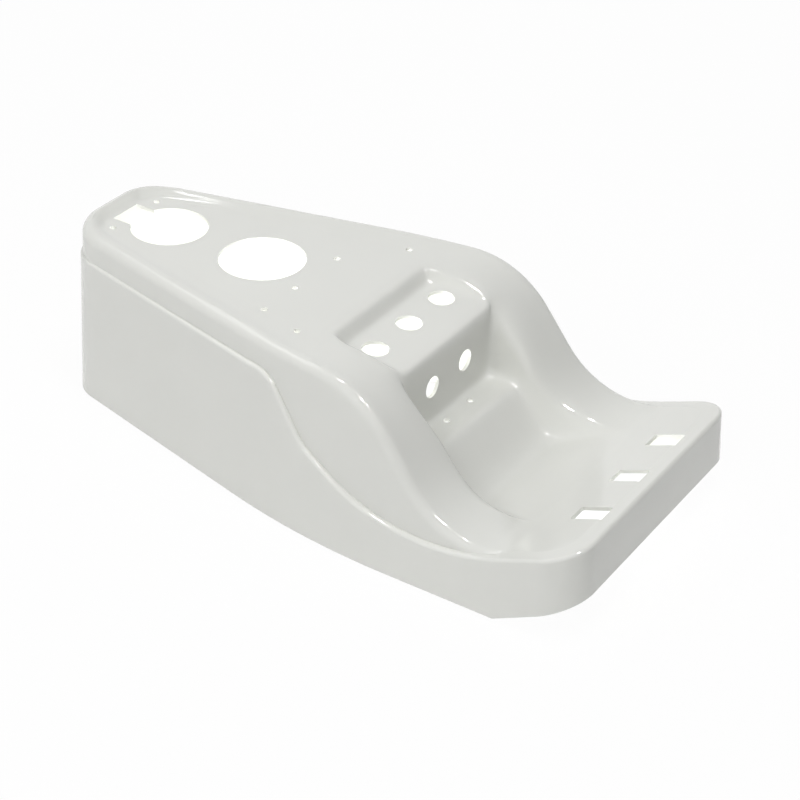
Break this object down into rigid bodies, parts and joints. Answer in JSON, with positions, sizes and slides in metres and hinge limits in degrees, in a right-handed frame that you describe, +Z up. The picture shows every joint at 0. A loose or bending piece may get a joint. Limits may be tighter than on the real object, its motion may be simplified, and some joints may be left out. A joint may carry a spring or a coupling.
{
  "type": "dental water unit housing",
  "caption": "Moulded cover of a dental water unit: tall rear panel with cup and bowl holes, knob shelf, stepped channel between two ridges, and a sloping slotted deck.",
  "frame": {"origin": "middle of the bottom rim's bounding box, on the surface that the cover stands on", "axes": "+X from the tall rear to the low nose, +Y to the object's left as seen from behind, +Z up"},
  "size_m": [0.5546, 0.2784, 0.1599],
  "materials": {
    "shell_plastic": "gloss"
  },
  "bodies": {
    "root": {"housing": "shell_plastic"}
  },
  "joints": []
}
